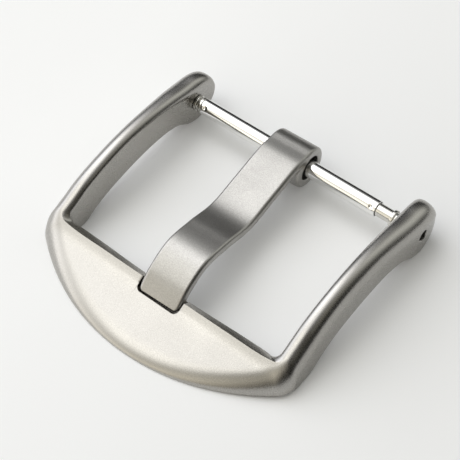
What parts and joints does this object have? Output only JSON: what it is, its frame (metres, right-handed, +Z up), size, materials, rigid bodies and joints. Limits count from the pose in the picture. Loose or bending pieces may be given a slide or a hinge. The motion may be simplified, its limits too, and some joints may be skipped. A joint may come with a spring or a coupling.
{
  "type": "watch strap pin buckle",
  "caption": "Arched frame with a wide curved front plate, a bent tongue that rests in a notch of the plate, and a sprung bar between the arms that carries tongue and strap.",
  "frame": {"origin": "on the spring bar's axis, halfway between the two arms", "axes": "+X along the bar, +Y from the front plate to the bar, +Z up from the surface that the buckle rests on"},
  "size_m": [0.0268, 0.026, 0.0052],
  "materials": {
    "frame_steel": "fine satin",
    "tongue_steel": "bead-blasted satin",
    "bar_steel": "polished",
    "spring_steel": "drawn wire"
  },
  "bodies": {
    "frame": {"frame": "frame_steel"},
    "tongue": {"tongue": "tongue_steel"},
    "left_plunger": {"plunger_left": "bar_steel"},
    "tube": {"bar_tube": "bar_steel", "bar_spring": "spring_steel"},
    "right_plunger": {"plunger_right": "bar_steel"}
  },
  "joints": [
    {"name": "tongue_pivot", "type": "hinge", "parent": "frame", "child": "tongue", "pos_m": [0, 0, 0], "axis": [-1, 0, 0], "range_deg": [0, 340]},
    {"name": "plunger_left_press", "type": "slide", "parent": "frame", "child": "left_plunger", "axis": [1, 0, 0], "range_m": [0, 0.0007], "stiffness_N_per_m": 1500, "springref_m": -0.001, "deforming": ["bar_spring"]},
    {"name": "tube_spin", "type": "hinge", "parent": "left_plunger", "child": "tube", "pos_m": [0, 0, 0], "axis": [1, 0, 0], "continuous": true},
    {"name": "plunger_right_press", "type": "slide", "parent": "frame", "child": "right_plunger", "axis": [-1, 0, 0], "range_m": [0, 0.0007], "stiffness_N_per_m": 1500, "springref_m": -0.001, "deforming": ["bar_spring"]}
  ]
}
